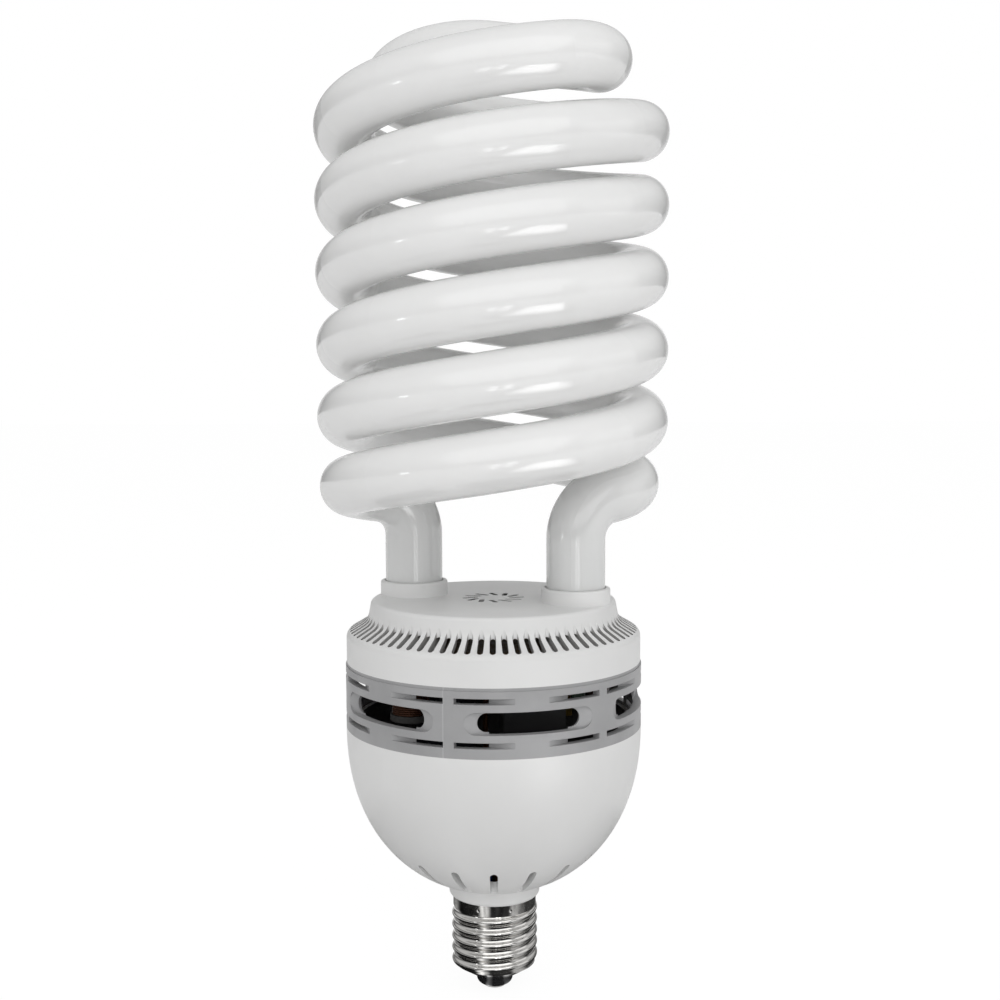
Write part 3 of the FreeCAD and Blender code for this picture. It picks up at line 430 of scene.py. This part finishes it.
@dataclass(frozen=True)
class VentedPlastic(MouldedPlastic):
    """Moulded plastic with painted shade on the walls of the cover's slots and on its inner side.

    A facing is where a mask starts and where it is full, by how far a surface faces that way.
    """

    # Painted shade: the slots' walls take a mid grey and the inner side a near black, where shade
    # falls.
    slot_shade_colour: Colour = (0.36, 0.355, 0.35)
    inner_shade_colour: Colour = (0.075, 0.074, 0.072)
    shoulder_radius: float = 0.034
    grille_radius: float = 0.0175
    shade_foot: float = 0.104
    shade_top: float = 0.1212
    inner_facing: Span = (-0.2, -0.6)
    shoulder_facing: Span = (0.5, 0.85)
    grille_facing: Span = (0.6, 0.3)

    def colour(self, sheet: Sheet, place: Socket, drift: Socket) -> Socket:
        """Gives the plastic's colour, with painted shade on the slots' walls and on the inner
        side.

        Args:
            sheet: The material's sheet.
            place: Object coordinates.
            drift: The cloudy mask.

        Returns:
            The colour's socket.
        """
        # Painted shade darkens the slots' walls and the inner side.
        slots, inside = self.shaded_walls(sheet, place)
        outer = sheet.blend(slots, super().colour(sheet, place, drift), self.slot_shade_colour)
        return sheet.blend(inside, outer, self.inner_shade_colour)

    def shaded_walls(self, sheet: Sheet, place: Socket) -> tuple[Socket, Socket]:
        """Finds where shade is painted, on the slots' walls and the inner side, by the way that
        they face.

        On the shoulder the walls face along the rim, in the grille sideways, and the inner side
        faces the lamp's axis.

        Args:
            sheet: The material's sheet.
            place: Object coordinates.

        Returns:
            The masks of the painted shade on the slots' walls and on the inner side.
        """
        across, deep, up = sheet.split(place)
        east, north, rise = sheet.split(sheet.add("TexCoord").outputs["Normal"])
        squares = sheet.calc("MULTIPLY_ADD", deep, deep, sheet.calc("MULTIPLY", across, across))
        radius = sheet.calc("SQRT", squares)
        below = sheet.calc("LESS_THAN", up, self.shade_top)
        out = sheet.calc("MULTIPLY_ADD", across, east, sheet.calc("MULTIPLY", deep, north))
        inward = sheet.ramp(sheet.calc("DIVIDE", out, radius), *self.inner_facing)
        inside = sheet.calc("MULTIPLY", inward, below)
        sweep = sheet.calc("MULTIPLY", across, north)
        turn = sheet.calc("SUBTRACT", sweep, sheet.calc("MULTIPLY", deep, east))
        along = sheet.calc("ABSOLUTE", sheet.calc("DIVIDE", turn, radius))
        far = sheet.calc("GREATER_THAN", radius, self.shoulder_radius)
        shoulder = sheet.calc("MULTIPLY", sheet.ramp(along, *self.shoulder_facing), far)
        sideways = sheet.ramp(sheet.calc("ABSOLUTE", rise), *self.grille_facing)
        near = sheet.calc("LESS_THAN", radius, self.grille_radius)
        grille = sheet.calc("MULTIPLY", sideways, near)
        high = sheet.calc("MULTIPLY", sheet.calc("GREATER_THAN", up, self.shade_foot), below)
        return sheet.calc("MULTIPLY", sheet.calc("MAXIMUM", shoulder, grille), high), inside


@dataclass(frozen=True)
class PlatedCap(Finish):
    """Bright plated sheet metal with a row of punch marks that hold it on the neck."""

    marks: int = 8
    mark_radius: float = 0.0006
    mark_height: float = 0.0277
    mark_depth: float = 12.0
    cap_radius: float = 0.0133

    def height(self, sheet: Sheet, place: Socket) -> Socket:
        """Gives the fine grain of the plating with the punch marks pressed in.

        Args:
            sheet: The material's sheet.
            place: Object coordinates.

        Returns:
            The height's socket.
        """
        grain = super().height(sheet, place)
        right, deep, high = sheet.split(place)
        angle = sheet.calc("ARCTAN2", deep, right)
        share = sheet.calc("FRACT", sheet.calc("MULTIPLY", angle, self.marks / math.tau))
        spacing = math.tau * self.cap_radius / self.marks
        across = sheet.calc("MULTIPLY", sheet.calc("SUBTRACT", share, 0.5), spacing)
        up = sheet.calc("SUBTRACT", high, self.mark_height)
        squares = sheet.calc("MULTIPLY_ADD", up, up, sheet.calc("MULTIPLY", across, across))
        mark = sheet.ramp(sheet.calc("SQRT", squares), 0.0, self.mark_radius, 1.0, 0.0)
        return sheet.calc("MULTIPLY_ADD", mark, -self.mark_depth, grain)


FINISHES: dict[str, Finish] = {
    finish.name: finish for finish in (
        CoatedGlass("tube_glass", (0.90, 0.90, 0.895), (0.87, 0.87, 0.865), 0.10, 0.16,
                    drift_scale=22.0, grain_scale=900.0, relief=0.00001, bump=0.08, coat=0.5,
                    scatter=0.4),
        Finish("cement", (0.72, 0.71, 0.68), (0.60, 0.59, 0.56), 0.75, 0.95,
               drift_scale=300.0, grain_scale=1500.0, relief=0.0001, bump=0.5),
        VentedPlastic("white_plastic", (0.80, 0.80, 0.795), (0.77, 0.77, 0.765), 0.36, 0.46),
        MouldedPlastic("grey_plastic", (0.37, 0.37, 0.375), (0.33, 0.33, 0.335), 0.38, 0.5,
                       drift_scale=60.0, grain_scale=1700.0, relief=0.00008, bump=0.35,
                       seam_height=0.8, seam_tone=0.3),
        PlatedCap("nickel", (0.74, 0.73, 0.71), (0.68, 0.67, 0.65), 0.07, 0.16,
                  drift_scale=180.0, grain_scale=3500.0, metallic=1.0, bump=0.25),
        Finish("black_insulator", (0.012, 0.012, 0.013), (0.02, 0.02, 0.021), 0.08, 0.18,
               drift_scale=120.0, coat=0.3),
        # The board's brown is darker than its own: painted shade for the housing's dark inside.
        Finish("board", (0.21, 0.135, 0.06), (0.17, 0.105, 0.045), 0.45, 0.6, drift_scale=400.0),
        Finish("tinned_wire", (0.62, 0.62, 0.6), (0.48, 0.48, 0.46), 0.25, 0.4,
               drift_scale=500.0, metallic=1.0),
        Finish("capacitor_sleeve", (0.02, 0.022, 0.03), (0.03, 0.032, 0.04), 0.25, 0.35),
        Finish("ferrite", (0.045, 0.044, 0.043), (0.07, 0.068, 0.066), 0.6, 0.8,
               drift_scale=500.0, relief=0.0001, bump=0.4),
        Finish("bobbin_plastic", (0.03, 0.03, 0.03), (0.045, 0.044, 0.043), 0.45, 0.55),
        Finish("winding_tape", (0.35, 0.24, 0.04), (0.30, 0.2, 0.035), 0.18, 0.28, coat=0.4),
        # The copper is darker than bare copper: painted shade for the housing's dark inside.
        Finish("copper", (0.09, 0.032, 0.015), (0.065, 0.023, 0.011), 0.25, 0.38,
               drift_scale=300.0, metallic=0.5),
        Finish("heat_sink", (0.012, 0.012, 0.013), (0.018, 0.018, 0.019), 0.45, 0.6,
               drift_scale=200.0),
        Finish("chip_plastic", (0.018, 0.018, 0.018), (0.028, 0.028, 0.028), 0.5, 0.6),
        # The film coating is darker than its own red: painted shade for the housing's dark inside.
        Finish("film_coating", (0.045, 0.016, 0.012), (0.034, 0.012, 0.009), 0.25, 0.4,
               coat=0.3),
        Finish("fuse_ceramic", (0.7, 0.66, 0.56), (0.62, 0.58, 0.5), 0.35, 0.5),
        Finish("thermistor_coating", (0.03, 0.06, 0.035), (0.04, 0.075, 0.045), 0.4, 0.55),
        Finish("resistor_coating", (0.5, 0.42, 0.28), (0.43, 0.36, 0.24), 0.3, 0.45),
        Finish("blue_wire", (0.03, 0.08, 0.34), (0.025, 0.065, 0.28), 0.35, 0.45),
        Finish("brown_wire", (0.16, 0.07, 0.03), (0.13, 0.055, 0.025), 0.35, 0.45),
    )
}


class Finishes:
    """The finished materials by slot name, each built once."""

    def __init__(self) -> None:
        """Builds the materials."""
        self.made = {name: finish.material() for name, finish in FINISHES.items()}

    def dress(self, solid: bpy.types.Object) -> None:
        """Gives a carried-over solid the finish that its material slot names."""
        for place in solid.material_slots:
            place.material = self.made[place.material.name.split(".")[0]]

    def piece(self, name: str, shape: bmesh.types.BMesh, slot: str) -> bpy.types.Object:
        """Turns a mesh into a smooth piece of the lamp.

        Args:
            name: The piece's name.
            shape: Its mesh in the lamp's frame, in metres, which is used up.
            slot: The material slot that it takes its finish from.

        Returns:
            The piece, which rides on the lamp.
        """
        bmesh.ops.remove_doubles(shape, verts=shape.verts, dist=WELD_DISTANCE)
        bmesh.ops.recalc_face_normals(shape, faces=shape.faces)
        mesh = bpy.data.meshes.new(name)
        shape.to_mesh(mesh)
        shape.free()
        mesh.shade_smooth()
        mesh.materials.append(self.made[slot])
        made = bpy.data.objects.new(name, mesh)
        bpy.context.scene.collection.objects.link(made)
        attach(made, "root")
        LOG.info("made %s", name)
        return made


@dataclass
class Lamp:
    """The carried-over solids of the lamp."""

    nodes: dict[str, bpy.types.Object]
    finishes: Finishes

    def build(self) -> None:
        """Puts the finishes on the solids."""
        for name, solid in sorted(self.nodes.items()):
            self.finishes.dress(solid)
            LOG.info("dressed %s", name)


def kind_of(items: list, kind: type) -> list:
    """Lists the items of one kind, such as the vertices of what an operator made."""
    return [item for item in items if isinstance(item, kind)]


def rim(verts: list[bmesh.types.BMVert]) -> list[bmesh.types.BMEdge]:
    """Lists the edges at some vertices, each once."""
    return list(dict.fromkeys(edge for vert in verts for edge in vert.link_edges))


def hoop(shape: bmesh.types.BMesh, middle: Vector, reach: float, wire: float, sides: int,
         steps: int) -> None:
    """Adds a level ring of round wire to a mesh.

    Args:
        shape: The mesh that takes the ring.
        middle: The ring's middle, in metres.
        reach: The radius of the wire's centre line.
        wire: The wire's own radius.
        sides: The sides of the wire's section.
        steps: The steps round the ring.
    """
    start = Matrix.Translation(middle + Vector((reach, 0.0, 0.0)))
    start @= Matrix.Rotation(math.pi / 2, 4, "X")
    section = bmesh.ops.create_circle(shape, segments=sides, radius=wire, matrix=start)["verts"]
    bmesh.ops.spin(shape, geom=[*section, *rim(section)], cent=middle, axis=(0.0, 0.0, 1.0),
                   angle=math.tau, steps=steps, use_merge=True)


@dataclass
class FilterTurns:
    """The filter choke's winding as turns of round wire, one above the other on the drum."""

    finishes: Finishes
    wire_radius: float = 0.0003
    wire_sides: int = 10
    turn_steps: int = 40

    def build(self) -> None:
        """Winds the turns between the drum's flanges."""
        low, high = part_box("filter_winding")
        count = int((high.z - low.z) / (2 * self.wire_radius))
        middle = (low + high) / 2
        reach = high.x - middle.x - self.wire_radius
        shape = bmesh.new()
        for index in range(count):
            middle.z = low.z + (high.z - low.z) * (index + 0.5) / count
            hoop(shape, middle, reach, self.wire_radius, self.wire_sides, self.turn_steps)
        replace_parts(self.finishes.piece("filter_turns", shape, "copper"), "filter_winding")


@dataclass
class DriveTurns:
    """The drive transformer's winding as loops of round wire round the ring's section."""

    finishes: Finishes
    turns: int = 9
    hole_radius: float = 0.0032
    wire_radius: float = 0.0004
    wire_sides: int = 10
    bend_steps: int = 5

    def build(self) -> None:
        """Bends one loop and sets its copies round the ring."""
        low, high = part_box("drive_ring")
        middle = (low + high) / 2
        shape = bmesh.new()
        self.loop(shape, middle, high.x - middle.x, high.z - low.z)
        first = [*shape.verts, *shape.edges, *shape.faces]
        for index in range(1, self.turns):
            copy = bmesh.ops.duplicate(shape, geom=first)["geom"]
            turn = Matrix.Rotation(math.tau * index / self.turns, 3, "Z")
            bmesh.ops.rotate(
                shape, cent=middle, matrix=turn, verts=kind_of(copy, bmesh.types.BMVert))
        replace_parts(self.finishes.piece("drive_turns", shape, "copper"), "drive_winding")

    def loop(self, shape: bmesh.types.BMesh, middle: Vector, outer: float, height: float) -> None:
        """Bends one loop on the ring's right side.

        Args:
            shape: The mesh that takes the loop.
            middle: The ring's middle.
            outer: The ring's outer radius.
            height: The ring's height.
        """
        wire, inner, rise = self.wire_radius, self.hole_radius, height / 2
        corners = ((outer, rise), (inner, rise), (inner, -rise), (outer, -rise))
        places = [middle + Vector((across, 0.0, up)) for across, up in corners]
        start = Matrix.Translation(places[-1] + Vector((wire, 0.0, 0.0)))
        ends = rim(bmesh.ops.create_circle(
            shape, segments=self.wire_sides, radius=wire, matrix=start)["verts"])
        for index, corner in enumerate(places):
            grown = bmesh.ops.extrude_edge_only(shape, edges=ends)["geom"]
            verts = kind_of(grown, bmesh.types.BMVert)
            edges = kind_of(grown, bmesh.types.BMEdge)
            bmesh.ops.translate(shape, vec=corner - places[index - 1], verts=verts)
            bent = bmesh.ops.spin(shape, geom=[*verts, *edges], cent=corner, axis=(0.0, -1.0, 0.0),
                                  angle=math.pi / 2, steps=self.bend_steps)["geom_last"]
            ends = kind_of(bent, bmesh.types.BMEdge)


@dataclass
class LegSeals:
    """The rounded top of the cement round each leg of the tube."""

    finishes: Finishes
    tube_radius: float = 0.00875
    socket_radius: float = 0.00915
    bead_radius: float = 0.0003
    bead_sides: int = 12
    turn_steps: int = 72

    def build(self) -> None:
        """Lays one bead round each leg."""
        _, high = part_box("tube_cement")
        leg = Vector((high.x - self.socket_radius, self.socket_radius - high.y, high.z))
        reach = (self.tube_radius + self.socket_radius) / 2
        for name, side in (("right_leg_seal", 1.0), ("left_leg_seal", -1.0)):
            middle = Vector((leg.x * side, leg.y * side, leg.z))
            shape = bmesh.new()
            hoop(shape, middle, reach, self.bead_radius, self.bead_sides, self.turn_steps)
            self.finishes.piece(name, shape, "cement")


@dataclass(frozen=True)
class Softbox:
    """A soft lamp: where it stands, the point it faces, its width and height, and its watts."""

    name: str
    place: Place
    aim: Place
    size: Span
    power: float


@dataclass(frozen=True)
class Pane:
    """A pane whose light shows only as a highlight.

    Its size is its width and its height, or its depth where it lies flat. Its turn is a compass
    angle from the front, to the right, in degrees.
    """

    name: str
    place: Place
    size: Span
    stand: Stand
    turn: float
    strength: float


@dataclass
class Studio:
    """The white room: floor, world, soft lamps, what only mirror rays meet, and the camera.

    A mirror tone is a compass angle from the front, to the right, in degrees, with its brightness.
    """

    camera_place: Place = (0.00213, -0.42, 0.18656)
    camera_pitch: float = 4.838
    camera_roll: float = -0.2
    camera_lens: float = 50.2
    camera_sensor: float = 36.0
    floor_side: float = 12.0
    floor_colour: Colour = (0.9, 0.9, 0.9)
    floor_glow: float = 1.05
    floor_seen_share: float = 0.35
    floor_camera_share: float = 0.55
    world_light: float = 0.55
    wall_light: float = 0.06
    ceiling_light: float = 0.6
    ceiling_limits: Span = (0.05, 0.5)
    back_light: float = 0.75
    back_limits: Span = (0.85, 0.99)
    ring_radius: float = 0.13
    ring_height: float = 0.0006
    ring_sides: int = 48
    ring_patch_scale: float = 45.0
    ring_patch_light: Span = (0.35, 1.3)
    ring_tones: tuple[Span, ...] = (
        (-180.0, 0.3), (-128.0, 0.3), (-100.0, 0.01), (-44.0, 0.02), (-28.0, 1.3), (-19.0, 0.7),
        (-7.0, 0.03), (36.0, 0.04), (50.0, 0.5), (64.0, 0.42), (90.0, 0.05), (180.0, 0.12))
    pane_edge: Span = (0.5, 0.2)
    window_reach: float = 0.36
    window_size: Span = (0.05, 0.15)
    window_angles: Span = (3.0, 12.0)
    window_strength: float = 3.5
    low_glow: Pane = Pane("low_glow", (0.215, -0.26, 0.0008), (0.26, 0.36), Stand.FLAT, 42.0, 4.5)
    softboxes: tuple[Softbox, ...] = (
        Softbox("front_softbox", (0.1, -1.3, 1.05), (0.0, 0.0, 0.15), (2.4, 1.6), 11.0),
        Softbox("right_softbox", (1.1, -0.2, 0.4), (0.0, 0.0, 0.12), (0.8, 0.8), 1.0),
        Softbox("left_spot", (-0.4, -0.29, 0.15), (0.0, 0.0, 0.2), (0.05, 0.03), 0.03))

    def build(self) -> None:
        """Builds the room."""
        self.world()
        self.floor()
        self.mirror_ring()
        for index, angle in enumerate(self.window_angles):
            self.pane(self.window(f"window_pane_{index}", angle))
        self.pane(self.low_glow)
        for softbox in self.softboxes:
            self.lamp(softbox)
        self.camera()

    @staticmethod
    def eyes(sheet: Sheet) -> tuple[Socket, Socket]:
        """Finds the rays that see the room.

        Args:
            sheet: The layout that asks.

        Returns:
            The mask of the camera's own rays, and the mask of these and of mirror and glass rays.
        """
        path = sheet.add("LightPath")
        camera = path.outputs["Is Camera Ray"]
        seen = sheet.calc("MAXIMUM", camera, path.outputs["Is Glossy Ray"])
        return camera, sheet.calc("MAXIMUM", seen, path.outputs["Is Transmission Ray"])

    def world(self) -> None:
        """Makes the world white to the eye, a dim room to mirrors and a soft light to the rest."""
        made = bpy.data.worlds.new("white_room")
        made.use_nodes = True
        bpy.context.scene.world = made
        sheet = Sheet(made.node_tree)
        camera, seen = self.eyes(sheet)
        _, deep, up = sheet.split(sheet.add("TexCoord").outputs["Generated"])
        wall = sheet.ramp(up, *self.ceiling_limits, self.wall_light, self.ceiling_light)
        back = sheet.ramp(deep, *self.back_limits, 0.0, self.back_light)
        wall = sheet.calc("MAXIMUM", sheet.calc("MAXIMUM", wall, back), camera)
        glow = sheet.add("MapRange")
        for value, target in zip((seen, 0.0, 1.0, self.world_light, wall), glow.inputs):
            sheet.feed(value, target)
        sky = sheet.add("Background")
        sky.inputs["Color"].default_value = (1.0, 1.0, 1.0, 1.0)
        sheet.join(glow.outputs["Result"], sky.inputs["Strength"])
        sheet.close(sky.outputs[0], "OutputWorld")

    def floor(self) -> None:
        """Lays the pale floor, which looks white and keeps the lamp's shadow."""
        bpy.ops.mesh.primitive_plane_add(size=self.floor_side)
        floor = bpy.context.object
        floor.name = "floor"
        made = bpy.data.materials.new("pale_floor")
        made.use_nodes = True
        sheet = Sheet(made.node_tree)
        camera, seen = self.eyes(sheet)
        matt = sheet.add("BsdfDiffuse")
        matt.inputs["Color"].default_value = (*self.floor_colour, 1.0)
        glow = sheet.add("Emission")
        glow.inputs["Strength"].default_value = self.floor_glow
        mix = sheet.add("MixShader")
        share = sheet.calc("MULTIPLY", camera, self.floor_camera_share)
        share = sheet.calc("MULTIPLY_ADD", seen, self.floor_seen_share, share)
        for source, target in zip((share, matt.outputs[0], glow.outputs[0]), mix.inputs):
            sheet.join(source, target)
        sheet.close(mix.outputs[0])
        floor.data.materials.append(made)

    @staticmethod
    def mirrored(name: str, shape: bmesh.types.BMesh) -> tuple[bpy.types.Object, Sheet]:
        """Makes a staged sheet that only mirror rays meet.

        Args:
            name: The sheet's name.
            shape: Its mesh, which is used up.

        Returns:
            The object and the empty layout of its material.
        """
        mesh = bpy.data.meshes.new(name)
        shape.to_mesh(mesh)
        shape.free()
        card = bpy.data.objects.new(name, mesh)
        bpy.context.scene.collection.objects.link(card)
        card.visible_camera = False
        card.visible_diffuse = False
        card.visible_shadow = False
        card.visible_transmission = False
        made = bpy.data.materials.new(name)
        made.use_nodes = True
        mesh.materials.append(made)
        return card, Sheet(made.node_tree)

    def mirror_ring(self) -> None:
        """Lays the round of light and dark tones that the plated cap mirrors."""
        shape = bmesh.new()
        bmesh.ops.create_circle(
            shape, cap_ends=True, segments=self.ring_sides, radius=self.ring_radius)
        bmesh.ops.translate(shape, vec=(0.0, 0.0, self.ring_height), verts=shape.verts)
        _, sheet = self.mirrored("mirror_ring", shape)
        place = sheet.place()
        right, deep, _ = sheet.split(place)
        angle = sheet.calc("ARCTAN2", right, sheet.calc("MULTIPLY", deep, -1.0))
        tones = sheet.add("ValToRGB")
        tones.color_ramp.interpolation = "EASE"
        marks = tones.color_ramp.elements
        while len(marks) < len(self.ring_tones):
            marks.new(1.0)
        for mark, (degrees, tone) in zip(marks, self.ring_tones):
            mark.position = degrees / 360.0 + 0.5
            mark.color = (tone, tone, tone, 1.0)
        sheet.join(sheet.calc("MULTIPLY_ADD", angle, 1.0 / math.tau, 0.5), tones.inputs[0])
        patchy = Finish.group(
            sheet, EFFECTS.drift, "Mask", Vector=place, Scale=self.ring_patch_scale)
        glow = sheet.add("Emission")
        sheet.join(tones.outputs[0], glow.inputs["Color"])
        strength = sheet.ramp(patchy, 0.0, 1.0, *self.ring_patch_light)
        sheet.join(strength, glow.inputs["Strength"])
        sheet.close(glow.outputs[0])

    def window(self, name: str, angle: float) -> Pane:
        """Places one pane of the window that the tube mirrors.

        Args:
            name: The pane's name.
            angle: Its compass angle from the front, to the right, in degrees.

        Returns:
            The pane, upright on the floor.
        """
        turn = math.radians(angle)
        place = (math.sin(turn) * self.window_reach, -math.cos(turn) * self.window_reach,
                 self.window_size[1] / 2)
        return Pane(name, place, self.window_size, Stand.UPRIGHT, angle, self.window_strength)

    def pane(self, pane: Pane) -> None:
        """Sets up a pane with soft edges.

        Args:
            pane: Where it is, how it stands and how bright it is.
        """
        shape = bmesh.new()
        bmesh.ops.create_grid(shape, x_segments=1, y_segments=1, size=0.5)
        card, sheet = self.mirrored(pane.name, shape)
        upright = Matrix.Rotation(math.radians(pane.stand.value), 4, "X")
        facing = Matrix.Rotation(math.radians(pane.turn), 4, "Z")
        sized = Matrix.Diagonal((*pane.size, 1.0, 1.0))
        card.matrix_world = Matrix.Translation(pane.place) @ facing @ upright @ sized
        right, far, _ = sheet.split(sheet.place())
        level: object = pane.strength
        for reach in (right, far):
            edge = sheet.ramp(sheet.calc("ABSOLUTE", reach), *self.pane_edge)
            level = sheet.calc("MULTIPLY", level, edge)
        glow = sheet.add("Emission")
        sheet.join(level, glow.inputs["Strength"])
        sheet.close(glow.outputs[0])

    @staticmethod
    def lamp(softbox: Softbox) -> None:
        """Sets up one softbox.

        Args:
            softbox: Where it stands, what it faces, its size and its power.
        """
        light = bpy.data.lights.new(softbox.name, "AREA")
        light.shape = "RECTANGLE"
        light.size, light.size_y = softbox.size
        light.energy = softbox.power
        lamp = bpy.data.objects.new(softbox.name, light)
        bpy.context.scene.collection.objects.link(lamp)
        lamp.location = softbox.place
        ray = Vector(softbox.aim) - Vector(softbox.place)
        lamp.rotation_euler = ray.to_track_quat("-Z", "Y").to_euler()

    def camera(self) -> None:
        """Sets the camera where the photograph was taken from."""
        data = bpy.data.cameras.new("camera")
        data.lens = self.camera_lens
        data.sensor_width = self.camera_sensor
        camera = bpy.data.objects.new("camera", data)
        bpy.context.scene.collection.objects.link(camera)
        tilt = Matrix.Rotation(math.radians(90.0 - self.camera_pitch), 4, "X")
        roll = Matrix.Rotation(math.radians(self.camera_roll), 4, "Z")
        camera.matrix_world = Matrix.Translation(self.camera_place) @ tilt @ roll
        bpy.context.scene.camera = camera


def main() -> None:
    """Dresses the lamp and builds the room."""
    logging.basicConfig(level=logging.INFO, format="%(name)s: %(message)s")
    bpy.context.scene.view_settings.view_transform = "Standard"
    finishes = Finishes()
    Lamp(frame["nodes"], finishes).build()
    FilterTurns(finishes).build()
    DriveTurns(finishes).build()
    LegSeals(finishes).build()
    Studio().build()


if __name__ == "__main__":
    main()
